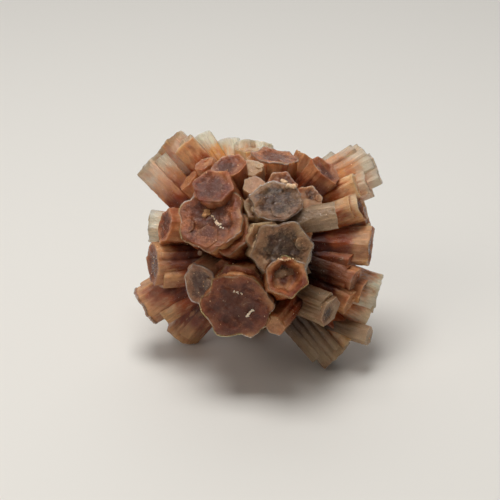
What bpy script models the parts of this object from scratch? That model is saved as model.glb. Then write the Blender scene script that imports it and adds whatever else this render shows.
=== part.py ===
"""Aragonite sputnik: one natural cluster of stout six-sided aragonite crystals that grew outwards from a common centre.

Aragonite twins in threes, so each crystal is a prism with a nearly hexagonal outline, a blunt flat end, and steps
and ribs where its twinned individuals meet. The crystals interpenetrate at the centre, so the cluster is one solid.
The specimen stands on a table on the ends of three of its crystals.
"""

import math
import random

import bmesh
import bpy
from mathutils import Matrix, Vector
from mathutils.geometry import intersect_point_line

MM = 0.001

# Driving dimensions, in millimetres and degrees.
CENTRE = Vector((-0.25, 1.0, 22.0))  # the growth centre, from the middle of the cluster and the table
LEAN = 25.0  # how far the specimen leans back as it rests, from the attitude in which its crystals are listed
CORE_RADIUS = 12.2  # the intergrown middle, seen only as the floor of the clefts
CORNER_BEVEL = 0.1  # worn prism corners, as a share of the crystal's width
RIM_BEVEL = 0.045  # worn rim of an end face, as a share of the width
ROOT_TAPER = 0.92  # a crystal's root width as a share of its tip width
SLANT = 0.1  # most that an end face may slope, as a tangent

# Individuals twinned with a crystal, as shares of its width.
TWIN_WIDTH = (0.6, 0.78)
TWIN_PROUD = (0.06, 0.13)  # how far each stands out from the crystal's side
TWIN_DROP = (0.05, 0.32)  # how far its end lies below the crystal's

# Crystals on the front and sides, each as tip, root, width, flatness, twins. Tip and root are millimetres to the
# right of the growth centre, up from it and out to the front, before the lean. Flatness is height over width, and
# twins counts the smaller parallel individuals grown with the crystal.
UPPER_LEFT = (
    ((-21.6, 17.0, -2.0), (-6.0, 0.6, -0.5), 7.6, 1.0, 1),
    ((-17.7, 21.0, -3.0), (-1.8, 4.8, -1.5), 8.0, 1.1, 1),
    ((-14.6, 20.4, 0.8), (0.2, 4.2, 0.0), 5.8, 1.0, 0),
    ((-11.6, 22.8, -7.5), (1.8, 2.4, -3.0), 5.6, 1.0, 0),
    ((-10.4, 16.4, 8.6), (-1.0, 1.0, 0.0), 4.6, 1.0, 0),
    ((-13.6, 13.2, 6.0), (-1.0, 1.0, 0.0), 5.4, 1.0, 0),
)
TOP = (
    ((-5.8, 21.8, -9.0), (-1.0, 0.0, -2.0), 5.6, 1.0, 0),
    ((-2.6, 21.5, -6.5), (0.0, 0.0, -1.0), 5.0, 1.0, 1),
    ((0.6, 21.4, -8.5), (1.0, 0.0, -2.0), 5.8, 1.0, 0),
    ((-1.6, 19.6, 2.0), (0.0, 1.0, 0.0), 6.4, 1.0, 1),
    ((3.4, 18.0, 7.0), (1.0, 1.0, 0.0), 9.8, 1.0, 1),
    ((-1.2, 15.4, 12.2), (0.0, 1.0, 0.0), 5.2, 1.0, 0),
    ((10.3, 18.2, 1.5), (1.0, 1.0, 0.0), 6.2, 1.0, 1),
    ((13.6, 15.2, 8.4), (2.0, 2.0, 0.0), 7.6, 1.0, 1),
    ((-5.6, 15.6, 13.4), (0.0, 1.0, 0.0), 7.8, 1.0, 0),
)
UPPER_RIGHT = (
    ((21.6, 18.8, -2.5), (4.0, 8.0, -1.0), 5.8, 1.0, 1),
    ((16.4, 18.1, -4.5), (3.0, 7.0, -2.0), 4.4, 1.0, 0),
    ((23.7, 16.4, 0.0), (5.0, 6.4, 0.0), 5.8, 1.0, 1),
    ((24.4, 14.2, 1.5), (5.0, 5.0, 0.0), 4.2, 1.0, 0),
    ((22.2, 12.6, 3.5), (4.0, 4.4, 0.0), 6.2, 1.0, 1),
    ((19.6, 12.2, 7.2), (2.0, 4.2, 1.0), 5.6, 1.0, 0),
    ((20.6, 8.4, 6.8), (1.0, 2.0, 0.5), 7.6, 1.0, 1),
)
RIGHT = (
    ((21.9, 5.2, 4.0), (0.5, 1.5, 0.5), 5.6, 1.0, 0),
    ((22.5, 0.2, 5.6), (0.0, 0.8, 0.0), 9.0, 1.0, 1),
    ((18.6, -3.2, 7.6), (0.0, 0.0, 0.0), 4.8, 1.0, 0),
    ((19.2, -6.4, 8.4), (0.0, 0.0, 0.0), 5.4, 1.0, 1),
    ((24.2, -9.4, 0.0), (1.0, -1.0, 0.0), 8.6, 1.0, 1),
    ((20.9, -8.8, 5.0), (1.0, -1.0, 0.0), 5.6, 1.0, 0),
    ((22.3, -13.8, 1.0), (1.0, -1.5, 0.0), 7.0, 1.0, 1),
    ((18.2, -10.8, 7.6), (1.0, -1.0, 0.0), 5.6, 1.0, 0),
    ((22.2, -17.6, 4.6), (9.0, -13.6, 0.0), 4.4, 1.0, 0),
)
LOWER_RIGHT = (
    ((15.9, -21.6, 0.0), (0.0, -3.0, 0.0), 8.8, 1.0, 1),
    ((18.6, -18.6, 1.5), (3.0, -3.0, 0.0), 6.4, 1.0, 1),
    ((14.2, -12.4, 12.2), (4.0, -8.4, 6.0), 7.0, 1.0, 1),
    ((2.9, -14.8, 16.6), (8.4, -9.0, 9.0), 5.4, 1.0, 0),
)
LOWER_LEFT = (
    ((-22.6, -12.0, -2.0), (-1.6, 0.0, 0.0), 9.8, 0.9, 2),
    ((-15.4, -17.6, -10.6), (-0.5, 0.0, 0.0), 8.6, 1.0, 1),
    ((-20.7, -3.2, 5.0), (0.0, -2.2, 0.0), 9.4, 1.0, 1),
    ((-21.6, 4.4, -1.0), (0.0, 1.5, 0.0), 7.4, 1.0, 0),
    ((-18.2, 4.1, 7.6), (0.0, 1.5, 0.0), 7.8, 1.0, 1),
    ((-10.8, -7.6, 13.2), (0.0, 0.0, 0.0), 9.8, 1.0, 0),
)
FRONT = (
    ((-8.9, 5.6, 19.0), (-0.5, -0.5, 0.0), 14.0, 1.0, 2),
    ((-8.4, 11.6, 18.2), (-1.0, 2.0, 0.0), 9.2, 0.92, 0),
    ((3.6, 8.8, 19.6), (0.0, 0.0, 0.0), 10.8, 0.85, 2),
    ((4.8, 11.8, 16.8), (0.0, 2.0, 0.0), 6.6, 1.0, 0),
    ((10.0, 9.4, 16.2), (1.0, 1.0, 0.0), 6.2, 1.0, 0),
    ((-0.6, 11.8, 15.6), (0.0, 1.0, 0.0), 5.0, 1.0, 0),
    ((14.9, 6.1, 17.0), (3.0, 4.2, 16.6), 6.2, 0.95, 0),
    ((4.7, -0.6, 22.0), (0.0, 0.0, 0.0), 12.8, 0.9, 2),
    ((5.5, -5.4, 23.6), (2.6, -7.4, 10.0), 8.6, 0.95, 0),
    ((-3.9, -11.2, 19.2), (-1.0, -3.6, 0.0), 14.6, 0.96, 2),
    ((-6.6, -4.2, 14.8), (0.0, 0.0, 0.0), 4.2, 1.0, 0),
)
LISTED = UPPER_LEFT + TOP + UPPER_RIGHT + RIGHT + LOWER_RIGHT + LOWER_LEFT + FRONT

# The crystal that stands upright on its end, as rested: tip and root from the growth centre, and width. It is a
# little too long, so its end is worn flat on the table.
FOOT = (Vector((-1.0, 9.0, -23.0)), Vector((-1.0, 9.0, -4.0)), 8.4)

# Crystals placed by rule wherever those above leave room: how many directions are tried, reach, width, and how far
# round to the front they may point, as the cosine of an angle. The first set makes the back and the underside, and
# the second the short crystals in the clefts.
BACK = (76, (20.0, 23.8), (4.8, 8.8), -0.4)
CLEFTS = (150, (13.5, 17.0), (2.6, 4.4), 1.0)
ROOM = 0.9  # least gap between axes, as a share of the sum of the two radii
TABLE_CLEARANCE = 1.0  # their ends stay this far above the table
GOLDEN_ANGLE = math.pi * (3 - math.sqrt(5))


def clear_scene():
    for obj in list(bpy.data.objects):
        bpy.data.objects.remove(obj)


def collection(name):
    made = bpy.data.collections.new(name)
    bpy.context.scene.collection.children.link(made)
    return made


def move_to(holder, obj):
    for found in list(obj.users_collection):
        found.objects.unlink(obj)
    holder.objects.link(obj)


def helper(obj):
    """Marks obj as one that only shapes another."""
    obj.hide_render = True
    obj.display_type = "WIRE"


def as_rested(point):
    """A listed point as a vector from the growth centre of the resting specimen, in millimetres."""
    across, up, out = point
    return Matrix.Rotation(math.radians(-LEAN), 3, "X") @ Vector((across, -out, up))


def prism(bm, width, length):
    """Adds a six-sided prism to bm, along +Z, with its end face at the origin."""
    made = bmesh.ops.create_cone(
        bm, cap_ends=True, segments=6, radius1=width / 2 * ROOT_TAPER, radius2=width / 2, depth=length
    )["verts"]
    bmesh.ops.translate(bm, vec=(0, 0, -length / 2), verts=made)


def wear(bm, width, length):
    """Bevels the upright corners of the prism in bm, then the rim of its end face."""
    upright = [e for e in bm.edges if abs(e.verts[0].co.z - e.verts[1].co.z) > length / 2]
    bmesh.ops.bevel(bm, geom=upright, offset=CORNER_BEVEL * width, segments=1, profile=0.5, affect="EDGES")
    end = max(bm.faces, key=lambda face: face.calc_center_median().z)
    bmesh.ops.bevel(
        bm, geom=list(end.edges), offset=RIM_BEVEL * width, segments=1, profile=0.5, affect="EDGES"
    )


def twins_of(rng, width, count):
    """Width, shift from the axis and drop of each individual twinned with a crystal of this width."""
    start = rng.uniform(0, 2 * math.pi)
    for i in range(count):
        angle = start + i * 2 * math.pi / count + rng.uniform(-0.5, 0.5)
        own = width * rng.uniform(*TWIN_WIDTH)
        reach = (width - own) / 2 + width * rng.uniform(*TWIN_PROUD)
        yield own, Vector((reach * math.cos(angle), reach * math.sin(angle), 0)), width * rng.uniform(*TWIN_DROP)


def standing(tip, root, flatness):
    """The matrix that stands an individual on its place, its X axis level. Tip and root are as rested."""
    axis = (tip - root).normalized()
    level = Vector((0, 0, 1)).cross(axis)
    level = level.normalized() if level.length > 0.01 else Vector((1, 0, 0))
    facing = Matrix((level, axis.cross(level), axis)).transposed().to_4x4()
    squash = Matrix.Scale(flatness, 4, (0, 1, 0))
    return Matrix.Translation((CENTRE + tip) * MM) @ facing @ squash @ Matrix.Scale(MM, 4)


def add_individual(stock, bm, matrix):
    mesh = bpy.data.meshes.new("crystal")
    bm.transform(matrix)
    bm.to_mesh(mesh)
    obj = bpy.data.objects.new("crystal", mesh)
    helper(obj)
    stock.objects.link(obj)


def add_crystal(stock, number, tip, root, width, flatness, twins):
    """Crystal number so-and-so and its twins as closed prisms in the stock collection. Tip and root are as rested."""
    rng = random.Random(number)
    length = (tip - root).length
    place = standing(tip, root, flatness)
    roll = Matrix.Rotation(rng.uniform(0, math.pi / 3), 4, "Z")
    slant = Matrix.Identity(4)
    slant[2][0] = rng.uniform(-SLANT, SLANT)
    slant[2][1] = rng.uniform(-SLANT, SLANT)
    bm = bmesh.new()
    prism(bm, width, length)
    wear(bm, width, length)
    add_individual(stock, bm, place @ roll @ slant)
    bm.free()
    for own, shift, drop in twins_of(rng, width, twins):
        bm = bmesh.new()
        prism(bm, own, length)
        add_individual(stock, bm, place @ Matrix.Translation(shift - Vector((0, 0, drop))) @ roll @ slant)
        bm.free()


def spread_directions(count):
    """Directions spread evenly over a sphere on a golden spiral."""
    for i in range(count):
        height = 1 - (2 * i + 1) / count
        level = math.sqrt(1 - height * height)
        yield Vector((level * math.cos(i * GOLDEN_ANGLE), level * math.sin(i * GOLDEN_ANGLE), height))


def distance(point, start, end):
    """From the point to the segment from start to end."""
    nearest, along = intersect_point_line(point, start, end)
    if along < 0:
        nearest = start
    elif along > 1:
        nearest = end
    return (point - nearest).length


def has_room(tip, root, width, placed):
    for other_tip, other_root, other_width in placed:
        needed = ROOM * (width + other_width) / 2
        if distance(tip, other_root, other_tip) < needed or distance(other_tip, root, tip) < needed:
            return False
    return True


def fill(placed, count, reaches, widths, front):
    """Adds to placed a crystal in each direction where one has room, and yields its tip, root and width."""
    out = as_rested((0, 0, 1))
    rng = random.Random(count)
    for direction in spread_directions(count):
        width = rng.uniform(*widths)
        reach = rng.uniform(*reaches)
        if direction.dot(out) > front:
            continue
        if direction.z < 0:
            corner = width / 2 * math.sqrt(1 - direction.z**2)
            reach = min(reach, (CENTRE.z - TABLE_CLEARANCE - corner) / -direction.z)
        crystal = (direction * reach, Vector((0, 0, 0)), width)
        if has_room(*crystal, placed):
            placed.append(crystal)
            yield crystal


def core():
    bpy.ops.mesh.primitive_ico_sphere_add(subdivisions=2, radius=CORE_RADIUS * MM, location=CENTRE * MM)
    return bpy.context.active_object


def table_cutter():
    """A block whose top is the table, which wears flat the crystal ends that stand on it."""
    block = 100 * MM
    bpy.ops.mesh.primitive_cube_add(size=block, location=(0, 0, -block / 2))
    cutter = bpy.context.active_object
    cutter.name = "table_level"
    helper(cutter)
    return cutter


def boolean(obj, other, name, operation):
    modifier = obj.modifiers.new(name, "BOOLEAN")
    modifier.operation = operation
    modifier.solver = "EXACT"
    modifier.object = other


def aragonite():
    material = bpy.data.materials.new("aragonite")
    material.use_nodes = True
    shader = material.node_tree.nodes["Principled BSDF"]
    shader.inputs["Base Color"].default_value = (0.36, 0.16, 0.08, 1)
    shader.inputs["Roughness"].default_value = 0.35
    shader.inputs["Metallic"].default_value = 0
    return material


def main():
    clear_scene()
    specimen = collection("aragonite_sputnik")
    stock = collection("crystals")
    cutters = collection("cutters")

    placed = []
    grown = []
    for tip, root, width, flatness, twins in LISTED:
        crystal = (as_rested(tip), as_rested(root), width)
        placed.append(crystal)
        grown.append((*crystal, flatness, twins))
    placed.append(FOOT)
    grown.append((*FOOT, 1.0, 0))
    for number, crystal in enumerate(fill(placed, *BACK)):
        grown.append((*crystal, 1.0, number % 3))
    for crystal in fill(placed, *CLEFTS):
        grown.append((*crystal, 1.0, 0))
    for number, crystal in enumerate(grown):
        add_crystal(stock, number, *crystal)

    cluster = core()
    cluster.name = "aragonite_cluster"
    cluster.data.name = "aragonite_cluster"
    cluster.data.materials.append(aragonite())
    move_to(specimen, cluster)
    for crystal in stock.objects:
        boolean(cluster, crystal, "grown together", "UNION")
    cutter = table_cutter()
    move_to(cutters, cutter)
    boolean(cluster, cutter, "stands on the table", "DIFFERENCE")


main()
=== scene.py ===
"""Looks of an aragonite sputnik: a ball of blunt six-sided crystals grown outwards from one centre.

The crystals stand where the CAD solid has them. Here they are grown again with their ribs, worn rims, pitted and
hollowed ends and fine grooves, and given the mineral's colour, which runs from pale tips to a dark red-brown root.
"""

import math
import random

import bmesh
import bpy
import numpy as np
from mathutils import Matrix, Vector
from mathutils.geometry import intersect_point_line


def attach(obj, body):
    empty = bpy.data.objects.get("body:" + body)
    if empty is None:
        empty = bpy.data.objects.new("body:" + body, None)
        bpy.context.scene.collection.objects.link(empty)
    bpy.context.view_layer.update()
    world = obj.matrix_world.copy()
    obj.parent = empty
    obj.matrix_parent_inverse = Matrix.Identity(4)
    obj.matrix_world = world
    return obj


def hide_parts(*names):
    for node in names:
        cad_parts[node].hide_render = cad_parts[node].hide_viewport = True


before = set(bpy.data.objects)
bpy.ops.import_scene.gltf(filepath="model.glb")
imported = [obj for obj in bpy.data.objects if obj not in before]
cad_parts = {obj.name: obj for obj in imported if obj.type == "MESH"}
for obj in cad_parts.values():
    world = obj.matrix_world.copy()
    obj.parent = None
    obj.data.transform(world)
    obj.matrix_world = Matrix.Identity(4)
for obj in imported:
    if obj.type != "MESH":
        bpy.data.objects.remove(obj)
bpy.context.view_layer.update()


# ---- Upper left crystals
# Two stout prisms side by side, straw-coloured at their tips and orange below, with a nearly clear one behind them.
# They are aragonite, a calcium carbonate that twins in threes, and grow out of the centre of the ball with the rest.

MM = 0.001
CENTRE = Vector((-0.25, 1.0, 22.0))  # the growth centre, in millimetres
LEAN = 25.0  # degrees by which the ball leans back from the attitude in which its crystals are listed
ROOT_TAPER = 0.92  # a crystal's root width as a share of its tip width
CORNER_BEVEL = 0.06  # worn prism corners, as a share of the width
SLANT = 0.1  # most that an end face may slope, as a tangent
SMOOTH_BELOW = math.radians(35)  # edges flatter than this are shaded smooth
BLANK_WIDTH = 10.0
BLANK_LENGTH = 20.0
WORN_RIM = 0.04  # how far an end's outer edge lies below its middle, as a share of the width
CUT_AT = 0.6  # how far down a blank its fine rows of faces reach, as a share of its length

# Crystals wider than these, in millimetres, are grown from finer blanks.
BROAD = 9.5
BIG = 6.0

# The dark heart that shows in a crystal's end: partly a darker core, partly painted shade where light is lost deep in
# the translucent end.
HEARTY = 10.0  # a narrower crystal than this has a smaller heart for its width, and off its axis
HEARTLESS = 6.2  # a narrower crystal than this has none, so that its end has the colour of its tip
HEART_ASIDE = 0.4  # most that a heart lies off the axis, as a share of the width

# Wear: how many times longer than wide its marks are, and how deep they are in millimetres, or for the warp in widths.
WARP = (4, 0.09)
GROOVES = (14, 0.12)
PITS = (1.2, 0.22)

# Individuals twinned with a crystal, as shares of its width.
TWIN_WIDTH = (0.6, 0.78)
TWIN_PROUD = (0.06, 0.13)
TWIN_DROP = (0.05, 0.32)

# Lesser individuals that rib a crystal's sides and step its rim. Their width is a share of the crystal's.
RIBS_PER_MM = 0.42
RIB_WIDTH = (0.2, 0.42)
RIB_PROUD = (0.0, 0.08)
RIB_DROP = (0.0, 1.4)
RIB_LENGTH = 0.8  # as a share of the crystal's
RIBLESS = 0.5  # a crystal at least as clear as this has no ribs

# Each crystal: tip, root (millimetres to the right of the growth centre, up from it and out to the front), width,
# flatness, twins, tone from 0 for straw to 1 for grey-brown, and clearness from 0 to 1.
UPPER_LEFT = (
    ((-21.6, 17.0, -2.0), (-6.0, 0.6, -0.5), 7.6, 1.0, 1, 0.14, 0.65),
    ((-17.7, 21.0, -3.0), (-1.8, 4.8, -1.5), 8.0, 1.1, 1, 0.22, 0.60),
    ((-14.6, 20.4, 0.8), (0.2, 4.2, 0.0), 5.8, 1.0, 0, 0.44, 0.05),
    ((-11.6, 22.8, -7.5), (1.8, 2.4, -3.0), 5.6, 1.0, 0, 0.00, 0.35),
    ((-10.4, 16.4, 8.6), (-1.0, 1.0, 0.0), 4.6, 1.0, 0, 0.58, 0.00),
    ((-13.6, 13.2, 6.0), (-1.0, 1.0, 0.0), 5.4, 1.0, 0, 0.60, 0.00),
)


def as_rested(point):
    """A listed point as a vector from the growth centre of the resting ball."""
    across, up, out = point
    return Matrix.Rotation(math.radians(-LEAN), 3, "X") @ Vector((across, -out, up))


def pick(mesh, kind, wanted):
    """In edit mode, selects only the mesh's edges or faces for which wanted is true."""
    bpy.ops.mesh.select_mode(type={"edges": "EDGE", "faces": "FACE"}[kind])
    bpy.ops.mesh.select_all(action="DESELECT")
    for part in getattr(bmesh.from_edit_mesh(mesh), kind):
        if wanted(part):
            part.select_set(True)
    bmesh.update_edit_mesh(mesh)


def put_away(obj):
    """Takes an object out of the scene."""
    for holder in list(obj.users_collection):
        holder.objects.unlink(obj)


def select_only(obj):
    """Selects the object alone and makes it active."""
    bpy.ops.object.select_all(action="DESELECT")
    obj.select_set(True)
    bpy.context.view_layer.objects.active = obj


def crystal_blank(name, strips, rows, end_rings):
    """One six-sided individual in millimetres, its end at the origin and its root down -Z, to be copied and stretched.

    Its sides are cut into strips and rows, and its end into rings, each a share of the radius and a height.
    """
    bpy.ops.object.select_all(action="DESELECT")
    bpy.ops.mesh.primitive_cone_add(
        vertices=6,
        radius1=BLANK_WIDTH / 2 * ROOT_TAPER,
        radius2=BLANK_WIDTH / 2,
        depth=BLANK_LENGTH,
        location=(0, 0, -BLANK_LENGTH / 2),
    )
    blank = bpy.context.object
    blank.name = name
    bpy.ops.object.transform_apply(location=True, rotation=True, scale=True)
    mesh = blank.data
    bpy.ops.object.mode_set(mode="EDIT")
    pick(mesh, "edges", lambda e: abs(e.verts[0].co.z - e.verts[1].co.z) > 1)
    bpy.ops.mesh.bevel(offset=CORNER_BEVEL * BLANK_WIDTH, segments=2 if strips > 2 else 1, affect="EDGES")
    bevel = 0.2 * BLANK_WIDTH  # a bevel's own edges are shorter than this, and aren't cut
    pick(mesh, "edges", lambda e: abs(e.verts[0].co.z - e.verts[1].co.z) < 0.01 and e.calc_length() > bevel)
    if strips > 1:
        bpy.ops.mesh.subdivide(number_cuts=strips - 1)
    bpy.ops.mesh.select_all(action="SELECT")
    bpy.ops.mesh.bisect(plane_co=(0, 0, -CUT_AT * BLANK_LENGTH), plane_no=(0, 0, 1))
    pick(mesh, "edges", lambda e: max(v.co.z for v in e.verts) > -0.1 and min(v.co.z for v in e.verts) < -1)
    bpy.ops.mesh.subdivide(number_cuts=rows - 1)
    pick(mesh, "faces", lambda f: f.normal.z > 0.9 and f.calc_center_median().z > -0.1)
    share, height = 1.0, -WORN_RIM * BLANK_WIDTH
    bpy.ops.transform.translate(value=(0, 0, height))
    for next_share, next_height in end_rings:
        bpy.ops.mesh.extrude_region_move(TRANSFORM_OT_translate={"value": (0, 0, next_height - height)})
        resize = next_share / share
        bpy.ops.transform.resize(value=(resize, resize, 1), center_override=(0, 0, 0))
        share, height = next_share, next_height
    bpy.ops.mesh.poke()
    bpy.ops.object.mode_set(mode="OBJECT")
    put_away(blank)
    return blank


def hollowed(depth, rings, lip=0.86, floor=0.6):
    """Rings of an end with a worn rim and a middle sunk by depth. The slope runs from lip to floor, both shares."""
    yield 0.985, -0.12
    for i in range(rings):
        share = 0.95 - 0.9 * i / rings
        down = min(max((lip - share) / (lip - floor), 0), 1)
        yield share, -depth * down * down * (3 - 2 * down)


big_blank = crystal_blank("big crystal", 9, 26, hollowed(0.3, 12))
broad_blank = crystal_blank("broad crystal", 12, 34, hollowed(0.3, 20, 0.84, 0.6))
cup_blank = crystal_blank("cupped crystal", 12, 34, hollowed(2.6, 22, 0.8, 0.45))
small_blank = crystal_blank("small crystal", 5, 20, hollowed(0.15, 7))
rib_blank = crystal_blank("rib", 2, 12, hollowed(0.0, 2))


def marks(name, size, octaves, colours="GRAYSCALE"):
    """A cloudy texture for marks of so many millimetres."""
    texture = bpy.data.textures.new(name, "CLOUDS")
    texture.cloud_type = colours
    texture.noise_scale = size
    texture.noise_depth = octaves
    return texture


warp_marks = marks("warps", 2.2, 1, "COLOR")
groove_marks = marks("grooves", 0.7, 1)
pit_marks = marks("pits", 0.45, 2)
guide = bpy.data.objects.new("guide", None)
bpy.context.scene.collection.objects.link(guide)


def displace(obj, texture, stretch, start, **settings):
    """Moves the active object's surface by a texture that is stretched along the crystal."""
    guide.location = start
    guide.scale = (1, 1, stretch)
    displaced = obj.modifiers.new(texture.name, "DISPLACE")
    displaced.texture = texture
    displaced.texture_coords = "OBJECT"
    displaced.texture_coords_object = guide
    for name, value in settings.items():
        setattr(displaced, name, value)
    bpy.ops.object.modifier_apply(modifier=displaced.name)


def wear(obj, texture, stretch, depth, start):
    """Sinks the surface by up to depth millimetres."""
    displace(obj, texture, stretch, start, mid_level=1.0, strength=depth)


def warp(obj, texture, stretch, amount, start):
    """Moves the surface every way by up to half of amount."""
    displace(obj, texture, stretch, start, direction="RGB_TO_XYZ", strength=amount)


def note_growth(mesh, width, shift, tone, clear, start):
    """Stores on each face corner its place in the crystal, which the colour follows.

    grain is the place itself in millimetres, moved by start so that no two crystals are alike. habit is the distance
    from the heart's axis as a share of the way to the side, the depth below the end in millimetres, the tone and the
    clearness. The width is the one that the heart is drawn for, and shift is the mesh's place as seen from its axis.
    """
    places = np.empty(len(mesh.vertices) * 3)
    mesh.vertices.foreach_get("co", places)
    corners = np.empty(len(mesh.loops), np.int32)
    mesh.loops.foreach_get("vertex_index", corners)
    places = places.reshape(-1, 3)[corners] + np.array(shift)
    flat = math.cos(math.pi / 6) * width / 2
    turns = np.radians([0, 60, 120])
    across = np.abs(places[:, :1] * np.cos(turns) + places[:, 1:2] * np.sin(turns)).max(axis=1) / flat
    habit = np.stack([across, -places[:, 2], np.full(len(corners), tone), np.full(len(corners), clear)], axis=1)
    grain = mesh.attributes.new("grain", "FLOAT_VECTOR", "CORNER")
    grain.data.foreach_set("vector", (places + np.array(start)).ravel())
    noted = mesh.attributes.new("habit", "FLOAT_COLOR", "CORNER")
    noted.data.foreach_set("color", habit.ravel())


def individual(blank, width, length, slant, place, of_crystal, start):
    """One individual of a crystal, grown from the blank and put in its place.

    of_crystal is what note_growth needs of the crystal: its heart's width and shift, its tone and its clearness.
    """
    mesh = blank.data.copy()
    mesh.transform(slant @ Matrix.Diagonal((width / BLANK_WIDTH, width / BLANK_WIDTH, length / BLANK_LENGTH, 1)))
    obj = bpy.data.objects.new("individual", mesh)
    bpy.context.scene.collection.objects.link(obj)
    if blank in (small_blank, big_blank, broad_blank, cup_blank):
        select_only(obj)
        warp(obj, warp_marks, WARP[0], WARP[1] * width, start)
        wear(obj, groove_marks, *GROOVES, start)
        wear(obj, pit_marks, *PITS, start)
    note_growth(mesh, *of_crystal, start)
    mesh.transform(place)
    return obj


def standing(tip, root, flatness):
    """The matrix that stands a crystal in its place in the resting ball, its X axis level."""
    axis = (tip - root).normalized()
    level = Vector((0, 0, 1)).cross(axis)
    level = level.normalized() if level.length > 0.01 else Vector((1, 0, 0))
    facing = Matrix((level, axis.cross(level), axis)).transposed().to_4x4()
    squash = Matrix.Scale(flatness, 4, (0, 1, 0))
    return Matrix.Translation((CENTRE + tip) * MM) @ facing @ squash @ Matrix.Scale(MM, 4)


def twins_of(rng, width, count):
    """Width, shift from the axis and drop of each individual twinned with a crystal."""
    start = rng.uniform(0, 2 * math.pi)
    for i in range(count):
        angle = start + i * 2 * math.pi / count + rng.uniform(-0.5, 0.5)
        own = width * rng.uniform(*TWIN_WIDTH)
        reach = (width - own) / 2 + width * rng.uniform(*TWIN_PROUD)
        yield own, Vector((reach * math.cos(angle), reach * math.sin(angle), 0)), width * rng.uniform(*TWIN_DROP)


def ribs_of(rng, width):
    """Width, shift and drop of each lesser individual, along the six sides of a crystal that isn't turned."""
    count = round(RIBS_PER_MM * width)
    for i in range(count):
        angle = (i + rng.uniform(-0.4, 0.4)) * 2 * math.pi / count
        side = math.cos(math.pi / 6) / math.cos((angle % (math.pi / 3)) - math.pi / 6)
        own = width * rng.uniform(*RIB_WIDTH)
        reach = side * width / 2 - own / 2 + rng.uniform(*RIB_PROUD)
        yield own, Vector((reach * math.cos(angle), reach * math.sin(angle), 0)), rng.uniform(*RIB_DROP)


def heart_of(own, start):
    """The width that a crystal's heart is drawn for, and where the crystal's axis lies as seen from the heart."""
    if own < HEARTLESS:
        return own, Vector((own, 0, 0))  # outside the crystal
    share = min(own / HEARTY, 1.0)
    aside = HEART_ASIDE * own * (1 - share)
    return own * share**1.5, Matrix.Rotation(start.x, 3, "Z") @ Vector((aside, 0, 0))


def grow_crystal(number, tip, root, width, flatness, twins, tone, clear, blank=None):
    """A crystal as overlapping individuals: itself, its twins and its ribs. Its number seeds what is random in it."""
    rng = random.Random(number)
    length = (tip - root).length
    place = standing(tip, root, flatness)
    roll = Matrix.Rotation(rng.uniform(0, math.pi / 3), 4, "Z")
    slant = Matrix.Identity(4)
    slant[2][0] = rng.uniform(-SLANT, SLANT)
    slant[2][1] = rng.uniform(-SLANT, SLANT)
    members = [(width, Vector(), 0.0)]
    members += twins_of(rng, width, twins)
    start = Vector([rng.uniform(-40, 40) for _ in range(3)])
    made = []
    for own, shift, drop in members:
        shift = shift - Vector((0, 0, drop))
        spot = place @ Matrix.Translation(shift) @ roll
        own_blank = blank or (broad_blank if own > BROAD else big_blank if own > BIG else small_blank)
        heart, moved = heart_of(own, start + shift)
        nature = (heart, moved, tone, clear)
        made.append(individual(own_blank, own, length, slant, spot, nature, start + shift))
        if clear < RIBLESS and blank is None:
            for rib, rib_shift, rib_drop in ribs_of(rng, own):
                rib_shift.z = slant[2][0] * rib_shift.x + slant[2][1] * rib_shift.y - rib_drop
                nature = (heart, rib_shift + moved, tone, clear)
                rib_spot = spot @ Matrix.Translation(rib_shift)
                made.append(individual(rib_blank, rib, RIB_LENGTH * length, slant, rib_spot, nature, start + shift))
    return made


def boolean(piece, operation, **operand):
    """Applies a Boolean with an object or a collection to the piece, and leaves the piece selected."""
    combined = piece.modifiers.new(operation.lower(), "BOOLEAN")
    combined.operation = operation
    combined.solver = "MANIFOLD"
    for name, value in operand.items():
        setattr(combined, name, value)
    select_only(piece)
    bpy.ops.object.modifier_apply(modifier=combined.name)


bpy.ops.object.select_all(action="DESELECT")
bpy.ops.mesh.primitive_cube_add(size=0.1, location=(0, 0, -0.05))
table_level = bpy.context.object


def grow_together(individuals):
    """Joins overlapping individuals into one closed piece, worn flat where it stands on the table."""
    piece = individuals[0]
    others = bpy.data.collections.new("others")
    bpy.context.scene.collection.children.link(others)
    for obj in individuals[1:]:
        put_away(obj)
        others.objects.link(obj)
    boolean(piece, "UNION", operand_type="COLLECTION", collection=others)
    for obj in individuals[1:]:
        bpy.data.objects.remove(obj)
    bpy.data.collections.remove(others)
    boolean(piece, "DIFFERENCE", object=table_level)
    bpy.ops.object.shade_smooth_by_angle(angle=SMOOTH_BELOW)
    return piece


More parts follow.
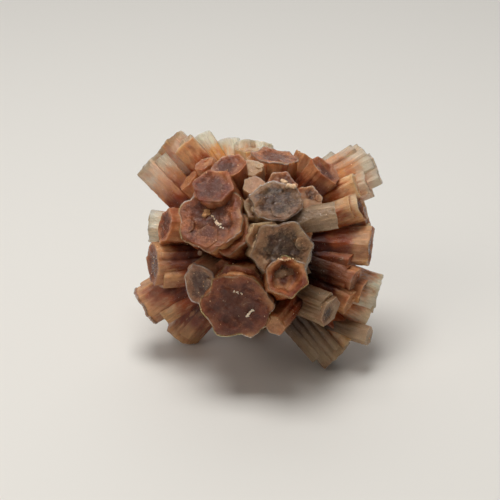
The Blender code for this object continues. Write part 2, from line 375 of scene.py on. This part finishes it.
class Term:
    """A socket of a material's nodes, so that shader maths reads as arithmetic."""

    def __init__(self, tree, socket=None):
        self.tree = tree
        self.socket = socket

    def node(self, kind, settings, inputs, output=0):
        """Adds a node with its settings and its sockets' values or links, and returns one of its outputs."""
        made = self.tree.nodes.new(kind)
        for name, value in settings.items():
            if name == "stops":
                for _ in value[2:]:
                    made.color_ramp.elements.new(1.0)
                for element, (position, colour) in zip(made.color_ramp.elements, value):
                    element.position = position
                    element.color = colour
            else:
                setattr(made, name, value)
        for name, value in inputs.items():
            if isinstance(value, Term):
                self.tree.links.new(value.socket, made.inputs[name])
            else:
                made.inputs[name].default_value = value
        return Term(self.tree, made.outputs[output] if made.outputs else None)

    def math(self, operation, *values):
        """A Math node on values or terms."""
        return self.node("ShaderNodeMath", {"operation": operation}, dict(enumerate(values)))

    def __add__(self, other):
        return self.math("ADD", self, other)

    def __radd__(self, other):
        return self.math("ADD", other, self)

    def __sub__(self, other):
        return self.math("SUBTRACT", self, other)

    def __rsub__(self, other):
        return self.math("SUBTRACT", other, self)

    def __mul__(self, other):
        return self.math("MULTIPLY", self, other)

    def __rmul__(self, other):
        return self.math("MULTIPLY", other, self)

    def between(self, low, high):
        """0 below low, 1 above high, and smooth from one to the other."""
        inputs = {"Value": self, "From Min": low, "From Max": high}
        return self.node("ShaderNodeMapRange", {"interpolation_type": "SMOOTHSTEP"}, inputs)

    def tint(self, other, share, blend="MIX"):
        """This colour with another mixed in, by a share."""
        settings = {"data_type": "RGBA", "blend_type": blend}
        return self.node("ShaderNodeMix", settings, {0: share, 6: self, 7: other}, output=2)

    def stretched(self, scale):
        """This vector with its parts multiplied."""
        return self.node("ShaderNodeVectorMath", {"operation": "MULTIPLY"}, {0: self, 1: scale})

    def noise(self, scale, detail, roughness):
        """Cloudy noise, from 0 to 1, at this place."""
        inputs = {"Vector": self, "Scale": scale, "Detail": detail, "Roughness": roughness}
        return self.node("ShaderNodeTexNoise", {}, inputs)


def pigment(red, green, blue):
    """A colour given as it looks on a screen, made linear."""
    return (*(c / 12.92 if c < 0.04 else ((c + 0.055) / 1.055) ** 2.4 for c in (red, green, blue)), 1.0)


def aragonite(name, scattering):
    """Aragonite with a pale tip, an orange to brown body, a dark root and a dark heart in its end, the heart partly
    painted shade.

    Scattering is how much of its light goes below the surface. A clear crystal is part glass towards its tip.
    """
    material = bpy.data.materials.new(name)
    material.use_nodes = True
    tree = material.node_tree
    tree.nodes.clear()
    start = Term(tree)
    habit = start.node("ShaderNodeAttribute", {"attribute_name": "habit"}, {})
    clear = start.node("ShaderNodeAttribute", {"attribute_name": "habit"}, {}, output=3)
    grain = start.node("ShaderNodeAttribute", {"attribute_name": "grain"}, {}, output=1)
    across, depth, tone = (start.node("ShaderNodeSeparateColor", {}, {0: habit}, output=i) for i in range(3))

    streaks = grain.stretched((1.6, 1.6, 0.4)).noise(1.0, 4.0, 0.65)
    veins = grain.stretched((1.1, 1.1, 0.14)).noise(1.0, 4.0, 0.65).between(0.55, 0.64)
    patches = grain.noise(0.25, 3.0, 0.5)
    clouds = grain.noise(0.8, 5.0, 0.65)
    grit = grain.noise(3.2, 3.0, 0.7)

    def by_tone(straw, orange, red, grey):
        """The colour of a straw, orange, red or grey crystal, by its tone."""
        stops = ((0.0, pigment(*straw)), (0.33, pigment(*orange)), (0.66, pigment(*red)), (1.0, pigment(*grey)))
        return tone.node("ShaderNodeValToRGB", {"stops": stops}, {0: tone + (patches - 0.5) * 0.6})

    tip = by_tone((1.00, 0.94, 0.84), (0.92, 0.70, 0.48), (0.60, 0.34, 0.21), (0.76, 0.64, 0.50))
    body = by_tone((0.95, 0.66, 0.32), (0.73, 0.33, 0.10), (0.37, 0.13, 0.05), (0.64, 0.52, 0.39))
    root = by_tone((0.60, 0.23, 0.04), (0.36, 0.11, 0.03), (0.18, 0.05, 0.02), (0.32, 0.22, 0.15))
    face = by_tone((0.86, 0.66, 0.43), (0.72, 0.44, 0.26), (0.46, 0.21, 0.12), (0.64, 0.49, 0.36))
    heart = by_tone((0.76, 0.55, 0.35), (0.48, 0.26, 0.15), (0.38, 0.18, 0.11), (0.36, 0.28, 0.22))

    age = depth + (streaks - 0.5) * 4 + (clouds - 0.5) * 4 + (patches - 0.5) * 8
    side = tip.tint(body, age.between(1.0, 5.0)).tint(root, age.between(4.0, 10.0))
    side = side.tint(root, veins * age.between(-1.0, 5.0) * 0.25)
    # Painted shade: sides 9.5 to 14 mm below their ends, deep in the clefts, darken to a dark grey-brown.
    side_with_painted_cleft_shade = side.tint(pigment(0.24, 0.16, 0.12), depth.between(9.5, 14.0))
    # The dark heart of an end, partly the crystal's darker core and partly painted shade of light lost deep in the
    # translucent end.
    heart_and_painted_depth_shade = 1 - (across + (clouds - 0.5) * 1.5 + (grit - 0.5) * 0.2).between(0.45, 0.85)
    ash = (clouds * 0.8 + grit * 0.2).between(0.5, 0.62) * heart_and_painted_depth_shade * 0.35
    end = face.tint(heart, heart_and_painted_depth_shade).tint(pigment(0.46, 0.33, 0.26), ash)
    frost = grain.noise(0.45, 5.0, 0.65).between(0.52, 0.68) * 0.25
    on_end = 1 - (depth + (across - 0.9) * 2).between(0.3, 0.9)
    colour = side_with_painted_cleft_shade.tint(end, on_end)
    colour = colour.tint(tip, frost * (1 - depth.between(5.0, 9.0)))
    cell_place = grain.stretched((2.2, 2.2, 0.7))
    cell = start.node("ShaderNodeTexVoronoi", {}, {"Vector": cell_place, "Scale": 1.0})
    cell_colour = start.node("ShaderNodeTexVoronoi", {}, {"Vector": cell_place, "Scale": 1.0}, output=1)
    cell_value = start.node("ShaderNodeSeparateColor", {}, {0: cell_colour})
    shade = 0.5 + grit * 0.25 + clouds * 0.55 + cell_value * 0.2
    shade_colour = start.node("ShaderNodeCombineColor", {}, {0: shade, 1: shade, 2: shade})
    mottled = colour.tint(shade_colour, 1.0, "MULTIPLY")
    crust = (grit * 0.7 + clouds * 0.8).between(0.92, 1.02) * 0.35
    crusted = mottled.tint(pigment(0.90, 0.80, 0.68), crust)
    point = start.node("ShaderNodeNewGeometry", {}, {}, output="Pointiness")
    # Painted shade: concave places, found by pointiness, are darkened towards the root colour, less so on the ends.
    painted_crevice_shade = (1 - point.between(0.40, 0.49)) * (0.6 - on_end * 0.45)
    # Painted highlight, partly the pale worn rims: convex edges, found by pointiness, are lightened towards the tip
    # colour. The painted crevice shade goes on after.
    painted_edge_light_and_crevice_shade = crusted.tint(tip, point.between(0.52, 0.62) * 0.4).tint(root, painted_crevice_shade)

    fine = grain.stretched((2.5, 2.5, 0.35)).noise(1.0, 3.0, 0.6)
    relief = fine * 0.3 + grit * 0.5 + cell * 0.3 + cell_value * 0.15
    bump = start.node("ShaderNodeBump", {}, {"Strength": 0.55, "Distance": 0.0005, "Height": relief})

    stone_inputs = {
        "Base Color": painted_edge_light_and_crevice_shade,
        "Roughness": 0.04 + grit * 0.35,
        "Normal": bump,
        "IOR": 1.55,
        "Specular IOR Level": 0.36,
        "Subsurface Weight": scattering,
        "Subsurface Radius": (1.0, 0.95, 0.9),
        "Subsurface Scale": 0.0024,
    }
    stone = start.node("ShaderNodeBsdfPrincipled", {}, stone_inputs)
    glass_inputs = {
        "Base Color": tip.tint(pigment(1.0, 0.94, 0.88), 0.6),
        "Roughness": 0.05 + grit * 0.2,
        "Normal": bump,
        "IOR": 1.6,
        "Transmission Weight": 1.0,
    }
    glass = start.node("ShaderNodeBsdfPrincipled", {}, glass_inputs)
    glassy = clear * (1 - age.between(2.0, 11.0)) * (1 - veins * 0.5)
    mixed = start.node("ShaderNodeMixShader", {}, {0: glassy, 1: stone, 2: glass})
    start.node("ShaderNodeOutputMaterial", {}, {"Surface": mixed})
    return material


aragonite_finish = aragonite("aragonite", 0.9)
grown = []  # every crystal so far: tip, root and width, as rested


def dress(piece, name, finish=aragonite_finish):
    """Names a piece, gives it its finish, and says what it rides on and replaces."""
    piece.name = name
    piece.data.name = name
    piece.data.materials.clear()
    piece.data.materials.append(finish)
    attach(piece, "root")
    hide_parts("aragonite_cluster")


def finish_crystals(name, individuals):
    """Makes one piece of a group's individuals."""
    dress(grow_together(individuals), name)


def listed_crystals(listed, **blanks):
    """Grows the listed crystals. A keyword such as row_8 gives that row's crystal another blank."""
    individuals = []
    for row, (tip, root, width, *nature) in enumerate(listed):
        tip = as_rested(tip)
        root = as_rested(root)
        blank = blanks.get(f"row_{row}")
        individuals += grow_crystal(len(grown), tip, root, width, *nature, blank=blank)
        grown.append((tip, root, width))
    return individuals


finish_crystals("upper_left_crystals", listed_crystals(UPPER_LEFT))


# ---- Top crystals
# A row of pale, nearly clear aragonite prisms at the back, with brown and red-brown ones before them that lean to the
# front. They stand close together and grow out of the centre with the rest.

TOP = (
    ((-5.8, 21.8, -9.0), (-1.0, 0.0, -2.0), 5.6, 1.0, 0, 0.00, 0.35),
    ((-2.6, 21.5, -6.5), (0.0, 0.0, -1.0), 5.0, 1.0, 1, 0.14, 0.40),
    ((0.6, 21.4, -8.5), (1.0, 0.0, -2.0), 5.8, 1.0, 0, 0.02, 0.35),
    ((-1.6, 19.6, 2.0), (0.0, 1.0, 0.0), 6.4, 1.0, 1, 0.34, 0.40),
    ((3.4, 18.0, 7.0), (1.0, 1.0, 0.0), 9.8, 1.0, 1, 0.42, 0.20),
    ((-1.2, 15.4, 12.2), (0.0, 1.0, 0.0), 5.2, 1.0, 0, 0.90, 0.00),
    ((10.3, 18.2, 1.5), (1.0, 1.0, 0.0), 6.2, 1.0, 1, 0.46, 0.25),
    ((13.6, 15.2, 8.4), (2.0, 2.0, 0.0), 7.6, 1.0, 1, 0.66, 0.00),
    ((-5.6, 15.6, 13.4), (0.0, 1.0, 0.0), 7.8, 1.0, 0, 0.66, 0.00),
)
finish_crystals("top_crystals", listed_crystals(TOP))


# ---- Upper right crystals
# A bundle of slender parallel aragonite prisms, straw-coloured with orange streaks, over stouter tan-orange ones. They
# have grown together along their sides.

UPPER_RIGHT = (
    ((21.6, 18.8, -2.5), (4.0, 8.0, -1.0), 5.8, 1.0, 1, 0.10, 0.60),
    ((16.4, 18.1, -4.5), (3.0, 7.0, -2.0), 4.4, 1.0, 0, 0.06, 0.75),
    ((23.7, 16.4, 0.0), (5.0, 6.4, 0.0), 5.8, 1.0, 1, 0.12, 0.60),
    ((24.4, 14.2, 1.5), (5.0, 5.0, 0.0), 4.2, 1.0, 0, 0.10, 0.60),
    ((22.2, 12.6, 3.5), (4.0, 4.4, 0.0), 6.2, 1.0, 1, 0.16, 0.55),
    ((19.6, 12.2, 7.2), (2.0, 4.2, 1.0), 5.6, 1.0, 0, 0.30, 0.20),
    ((20.6, 8.4, 6.8), (1.0, 2.0, 0.5), 7.6, 1.0, 1, 0.34, 0.30),
)
finish_crystals("upper_right_crystals", listed_crystals(UPPER_RIGHT))


# ---- Right crystals
# A stout orange prism with a flat end, and below it a fan of yellow-tan and red-brown ones. They are aragonite and grow
# out of the centre with the rest.

RIGHT = (
    ((21.9, 5.2, 4.0), (0.5, 1.5, 0.5), 5.6, 1.0, 0, 0.70, 0.00),
    ((22.5, 0.2, 5.6), (0.0, 0.8, 0.0), 9.0, 1.0, 1, 0.40, 0.30),
    ((18.6, -3.2, 7.6), (0.0, 0.0, 0.0), 4.8, 1.0, 0, 0.66, 0.00),
    ((19.2, -6.4, 8.4), (0.0, 0.0, 0.0), 5.4, 1.0, 1, 0.70, 0.00),
    ((24.2, -9.4, 0.0), (1.0, -1.0, 0.0), 8.6, 1.0, 1, 0.10, 0.35),
    ((20.9, -8.8, 5.0), (1.0, -1.0, 0.0), 5.6, 1.0, 0, 0.55, 0.00),
    ((22.3, -13.8, 1.0), (1.0, -1.5, 0.0), 7.0, 1.0, 1, 0.18, 0.30),
    ((18.2, -10.8, 7.6), (1.0, -1.0, 0.0), 5.6, 1.0, 0, 0.56, 0.00),
    ((22.2, -17.6, 4.6), (9.0, -13.6, 0.0), 4.4, 1.0, 0, 0.98, 0.30),
)
finish_crystals("right_crystals", listed_crystals(RIGHT))


# ---- Lower right crystals
# A stout grey-brown aragonite prism on whose worn corner the ball rests, a smaller one beside it, and two that point to
# the front. They grow out of the centre with the rest.

LOWER_RIGHT = (
    ((15.9, -21.6, 0.0), (0.0, -3.0, 0.0), 8.8, 1.0, 1, 1.00, 0.35),
    ((18.6, -18.6, 1.5), (3.0, -3.0, 0.0), 6.4, 1.0, 1, 0.30, 0.40),
    ((14.2, -12.4, 12.2), (4.0, -8.4, 6.0), 7.0, 1.0, 1, 0.92, 0.25),
    ((2.9, -14.8, 16.6), (8.4, -9.0, 9.0), 5.4, 1.0, 0, 0.50, 0.10),
)
finish_crystals("lower_right_crystals", listed_crystals(LOWER_RIGHT))


# ---- Lower left crystals
# Stout orange-brown aragonite prisms that point to the left, one with a nearly clear tip, and a dark brown one set
# deeper. They grow out of the centre with the rest, and the lowest is worn flat where it stands on the table.

LOWER_LEFT = (
    ((-22.6, -12.0, -2.0), (-1.6, 0.0, 0.0), 9.8, 0.9, 2, 0.40, 0.30),
    ((-15.4, -17.6, -10.6), (-0.5, 0.0, 0.0), 8.6, 1.0, 1, 0.44, 0.25),
    ((-20.7, -3.2, 5.0), (0.0, -2.2, 0.0), 9.4, 1.0, 1, 0.50, 0.25),
    ((-21.6, 4.4, -1.0), (0.0, 1.5, 0.0), 7.4, 1.0, 0, 0.02, 0.50),
    ((-18.2, 4.1, 7.6), (0.0, 1.5, 0.0), 7.8, 1.0, 1, 0.60, 0.00),
    ((-10.8, -7.6, 13.2), (0.0, 0.0, 0.0), 9.8, 1.0, 0, 0.80, 0.00),
)
finish_crystals("lower_left_crystals", listed_crystals(LOWER_LEFT))


# ---- Front crystals
# The big blunt aragonite prisms that face the viewer, each with a dark heart, partly painted shade, and a paler,
# slightly raised rim. They grow out of the centre with the rest. The small orange one below the middle is hollowed like
# a cup.

FRONT = (
    ((-8.9, 5.6, 19.0), (-0.5, -0.5, 0.0), 14.0, 1.0, 2, 0.52, 0.15),
    ((-8.4, 11.6, 18.2), (-1.0, 2.0, 0.0), 9.2, 0.92, 0, 0.66, 0.00),
    ((3.6, 8.8, 19.6), (0.0, 0.0, 0.0), 10.8, 0.85, 2, 0.94, 0.30),
    ((4.8, 11.8, 16.8), (0.0, 2.0, 0.0), 6.6, 1.0, 0, 0.72, 0.05),
    ((10.0, 9.4, 16.2), (1.0, 1.0, 0.0), 6.2, 1.0, 0, 0.80, 0.00),
    ((-0.6, 11.8, 15.6), (0.0, 1.0, 0.0), 5.0, 1.0, 0, 0.90, 0.00),
    ((14.9, 6.1, 17.0), (3.0, 4.2, 16.6), 6.2, 0.95, 0, 1.00, 0.45),
    ((4.7, -0.6, 22.0), (0.0, 0.0, 0.0), 12.8, 0.9, 2, 0.98, 0.15),
    ((5.5, -5.4, 23.6), (2.6, -7.4, 10.0), 8.6, 0.95, 0, 0.58, 0.10),
    ((-3.9, -11.2, 19.2), (-1.0, -3.6, 0.0), 14.6, 0.96, 2, 0.58, 0.12),
    ((-6.6, -4.2, 14.8), (0.0, 0.0, 0.0), 4.2, 1.0, 0, 0.66, 0.00),
)
finish_crystals("front_crystals", listed_crystals(FRONT, row_8=cup_blank))


# ---- Back and underside crystals
# The hidden half of the ball, which is much like the rest: stout aragonite prisms that grow out of the centre wherever
# there is room, and one upright under the back, on whose worn end the ball stands.

FOOT = (Vector((-1.0, 9.0, -23.0)), Vector((-1.0, 9.0, -4.0)), 8.4)
FOOT_NATURE = (1.0, 0, 0.4, 0.1)  # flatness, twins, tone and clearness
OUT = as_rested((0, 0, 1))
BACK = (76, (20.0, 23.8), (4.8, 8.8), -0.4)  # directions tried, reach, width, and how far round to the front
BACK_TONE = (0.1, 0.85)
BACK_CLEAR = (0.0, 0.1, 0.3)
ROOM = 0.9  # least gap between axes, as a share of the sum of the two radii
TABLE_CLEARANCE = 1.0  # least height of a hidden crystal's end above the table, in millimetres
GOLDEN_ANGLE = math.pi * (3 - math.sqrt(5))


def spread_directions(count):
    """Directions spread evenly over a sphere on a golden spiral."""
    for i in range(count):
        height = 1 - (2 * i + 1) / count
        level = math.sqrt(1 - height * height)
        yield Vector((level * math.cos(i * GOLDEN_ANGLE), level * math.sin(i * GOLDEN_ANGLE), height))


def distance(point, start, end):
    """From the point to the segment from start to end."""
    nearest, along = intersect_point_line(point, start, end)
    if along < 0:
        nearest = start
    elif along > 1:
        nearest = end
    return (point - nearest).length


def has_room(tip, root, width):
    """Whether no crystal grown so far comes too near."""
    for other_tip, other_root, other_width in grown:
        needed = ROOM * (width + other_width) / 2
        if distance(tip, other_root, other_tip) < needed or distance(other_tip, root, tip) < needed:
            return False
    return True


def fill(count, reaches, widths, front):
    """Adds to grown a crystal in each direction where one has room, and yields its tip, root and width."""
    rng = random.Random(count)
    for direction in spread_directions(count):
        width = rng.uniform(*widths)
        reach = rng.uniform(*reaches)
        if direction.dot(OUT) > front:
            continue
        if direction.z < 0:
            corner = width / 2 * math.sqrt(1 - direction.z**2)
            reach = min(reach, (CENTRE.z - TABLE_CLEARANCE - corner) / -direction.z)
        crystal = (direction * reach, Vector((0, 0, 0)), width)
        if has_room(*crystal):
            grown.append(crystal)
            yield crystal


tones = random.Random(5)
individuals = grow_crystal(len(grown), *FOOT, *FOOT_NATURE)
grown.append(FOOT)
first = len(grown)
for number, crystal in enumerate(list(fill(*BACK))):
    tone = tones.uniform(*BACK_TONE)
    clear = tones.choice(BACK_CLEAR)
    individuals += grow_crystal(first + number, *crystal, 1.0, number % 3, tone, clear)
finish_crystals("back_crystals", individuals)


# ---- Cleft crystals and core
# Short aragonite crystals between the tall ones, and the lumpy middle where all are intergrown, which shows only as the
# floor of the clefts.

CLEFTS = (150, (13.5, 17.0), (2.6, 4.4), 1.0)
CLEFT_TONE = (0.5, 1.0)
CORE_RADIUS = 12.2
CORE_LUMPS = 1.2  # their height in millimetres
CORE_TONE = 0.8
# So deep that the core takes the dark grey-brown painted shade of the clefts' floors.
CORE_DEPTH = Vector((0, 0, -40))  # its colour is that of a crystal so far down

first = len(grown)
individuals = []
for number, crystal in enumerate(list(fill(*CLEFTS))):
    individuals += grow_crystal(first + number, *crystal, 1.0, 0, tones.uniform(*CLEFT_TONE), 0.0)
bpy.ops.object.select_all(action="DESELECT")
bpy.ops.mesh.primitive_ico_sphere_add(subdivisions=5, radius=CORE_RADIUS)
core = bpy.context.object
wear(core, marks("lumps", 1.6, 1), 1, CORE_LUMPS, (3, 1, 2))
note_growth(core.data, 2, CORE_DEPTH, CORE_TONE, 0, -CORE_DEPTH)
core.data.transform(Matrix.Translation(CENTRE * MM) @ Matrix.Scale(MM, 4))
put_away(core)
bpy.context.scene.collection.objects.link(core)
finish_crystals("cleft_crystals", [core, *individuals])


# ---- Druse
# Tiny dark aragonite crystals that line the clefts and grow from the core. They are one joined mesh of closed prisms,
# too small for the CAD solid.

DRUSE = (300, (12.4, 14.6), (0.7, 1.8))  # directions, reach and width
DRUSE_LENGTH = 3.5
DRUSE_LEAN = 0.5  # most that one leans from the straight way out, as a tangent
DRUSE_TONE = (0.5, 1.0)
DRUSE_DEPTH = Vector((0, 0, -5.0))  # it has the colour that a tall crystal has so far down

tiny_blank = crystal_blank("tiny crystal", 1, 2, hollowed(0.0, 1))
rng = random.Random(9)
individuals = []
for direction in spread_directions(DRUSE[0]):
    tip = direction * rng.uniform(*DRUSE[1])
    width = rng.uniform(*DRUSE[2])
    aside = Vector([rng.uniform(-DRUSE_LEAN, DRUSE_LEAN) for _ in range(3)])
    root = tip - (direction + aside) * DRUSE_LENGTH
    nature = (width, DRUSE_DEPTH, rng.uniform(*DRUSE_TONE), 0.0)
    place = standing(tip, root, 1.0)
    individuals.append(individual(tiny_blank, width, DRUSE_LENGTH, Matrix.Identity(4), place, nature, tip * 3))


def joined(individuals):
    """One mesh of individuals that stay separate closed shells."""
    bpy.ops.object.select_all(action="DESELECT")
    for obj in individuals:
        obj.select_set(True)
    bpy.context.view_layer.objects.active = individuals[0]
    bpy.ops.object.join()
    return individuals[0]


dress(joined(individuals), "druse")


# ---- Crust
# Faceted grains of pale, opaque aragonite that grew last, strewn over the ball and crusted in a few spots on the big
# ends. They are one joined mesh, and each sits half sunk in the crystal under it.

STREWN = (300, (0.15, 0.4), 0.3)  # count, width and tone of the grains all over
# Spots as seen from the front: from and to, both right of and up from the growth centre, count, width and tone.
CRUSTS = (
    ((-10.1, 6.2), (-9.6, 6.0), 5, 1.7, 0.40),
    ((-8.7, 5.9), (-6.5, 3.5), 16, 0.75, 0.05),
    ((-1.9, -12.9), (-0.9, -11.8), 14, 0.65, 0.05),
    ((5.2, 12.2), (7.4, 11.0), 10, 1.5, 0.22),
    ((3.6, -2.4), (6.6, -2.2), 14, 0.6, 0.16),
    ((-4.4, -8.2), (-2.8, -8.8), 8, 0.5, 0.08),
)
SPREAD = 0.3  # how far a grain lies from its spot's line, in widths
GRAIN_DEPTH = 0.4  # a grain has the colour that a tall crystal has so far down
CLEFT_REACH = 15.0  # one nearer to the growth centre than this lies in a cleft
CLEFT_GRAIN_DEPTH = 9.0
LOWEST = 2.0 - CENTRE.z  # none grow below this height
FAR = 40  # beyond the ball

bpy.ops.object.select_all(action="DESELECT")
bpy.ops.mesh.primitive_ico_sphere_add(subdivisions=1, radius=BLANK_WIDTH / 2)
grain_blank = bpy.context.object
pieces = [obj for obj in bpy.data.objects if obj.type == "MESH" and "crystals" in obj.name]


def surface_from(start, toward):
    """Where a line first meets the ball, in millimetres as rested, or None."""
    hits = [piece.ray_cast((CENTRE + start) * MM, toward) for piece in pieces]
    hits = [place / MM - CENTRE for found, place, _, _ in hits if found]
    return min(hits, key=lambda place: (place - start).length, default=None)


def grown_on(place, width, tone):
    """A grain on the surface, turned at random and a little flattened. It has no heart."""
    depth = GRAIN_DEPTH if place.length > CLEFT_REACH else CLEFT_GRAIN_DEPTH
    turn = Matrix.Rotation(rng.uniform(0, 6.3), 4, Vector([rng.uniform(-1, 1) for _ in range(3)]))
    spot = Matrix.Translation((CENTRE + place) * MM) @ turn @ Matrix.Diagonal((MM, 0.8 * MM, 0.6 * MM, 1))
    nature = (width, Vector((2 * width, 0, -depth)), tone, 0.0)
    length = width / BLANK_WIDTH * BLANK_LENGTH
    return individual(grain_blank, width, length, Matrix.Identity(4), spot, nature, place * 3)


grains = []
for direction in spread_directions(STREWN[0]):
    aside = Vector([rng.uniform(-0.2, 0.2) for _ in range(3)])
    place = surface_from((direction + aside) * FAR, -direction)
    if place and place.z > LOWEST:
        grains.append(grown_on(place, rng.uniform(*STREWN[1]), STREWN[2]))
for low, high, count, width, tone in CRUSTS:
    for _ in range(count):
        share = rng.random()
        across = low[0] + (high[0] - low[0]) * share + rng.uniform(-SPREAD, SPREAD) * width
        up = low[1] + (high[1] - low[1]) * share + rng.uniform(-SPREAD, SPREAD) * width
        place = surface_from(as_rested((across, up, FAR)), -OUT)
        grains.append(grown_on(place, width * rng.uniform(0.5, 1.0), tone))
dress(joined(grains), "crust", aragonite("opaque aragonite", 0.0))

for tool in (guide, table_level, broad_blank, big_blank, cup_blank, small_blank, rib_blank, tiny_blank, grain_blank):
    bpy.data.objects.remove(tool)


# ---- Room: the floor, the lights and the camera
# A plain, pale floor, a small soft light overhead, a wide one like a window behind, and a weak one at the left front.
# The camera looks down at the front of the ball.

WARM_WHITE = (1.0, 0.99, 0.97)

bpy.ops.object.select_all(action="DESELECT")
bpy.ops.mesh.primitive_plane_add(size=4, location=(0, 0, 0))
floor = bpy.context.object
floor.name = "floor"
floor_finish = bpy.data.materials.new("pale floor")
floor_finish.use_nodes = True
shader = floor_finish.node_tree.nodes["Principled BSDF"]
shader.inputs["Base Color"].default_value = pigment(0.88, 0.87, 0.85)
shader.inputs["Roughness"].default_value = 0.6
floor.data.materials.append(floor_finish)

world = bpy.data.worlds.new("room")
bpy.context.scene.world = world
world.use_nodes = True
world.node_tree.nodes["Background"].inputs["Color"].default_value = (1.0, 0.98, 0.95, 1)
world.node_tree.nodes["Background"].inputs["Strength"].default_value = 0.14


def soft_light(name, place, size, power, colour):
    """A square light that faces the ball."""
    lamp = bpy.data.lights.new(name, "AREA")
    lamp.size = size
    lamp.energy = power
    lamp.color = colour
    holder = bpy.data.objects.new(name, lamp)
    holder.location = place
    holder.rotation_euler = (CENTRE * MM - Vector(place)).to_track_quat("-Z", "Y").to_euler()
    bpy.context.scene.collection.objects.link(holder)


soft_light("overhead", (-0.06, 0.0, 0.55), 0.26, 2.25, WARM_WHITE)
soft_light("window", (-0.05, 0.8, 0.4), 1.2, 2.9, WARM_WHITE)
soft_light("fill", (-0.3, -0.3, 0.36), 0.25, 0.5, (1.0, 0.94, 0.86))

VIEW_HEIGHT = 25.0  # degrees above level
VIEW_DISTANCE = 0.3
LENS = 108.0
AIM = Vector((-1.4, 0.0, -0.6))  # from the growth centre, in millimetres

aim = (CENTRE + AIM) * MM
camera = bpy.data.objects.new("camera", bpy.data.cameras.new("camera"))
camera.data.lens = LENS
tilt = math.radians(VIEW_HEIGHT)
camera.location = aim + VIEW_DISTANCE * Vector((0, -math.cos(tilt), math.sin(tilt)))
camera.rotation_euler = (math.radians(90) - tilt, 0, 0)
camera.data.clip_start = 0.01
bpy.context.scene.collection.objects.link(camera)
bpy.context.scene.camera = camera
bpy.context.scene.view_settings.view_transform = "Standard"
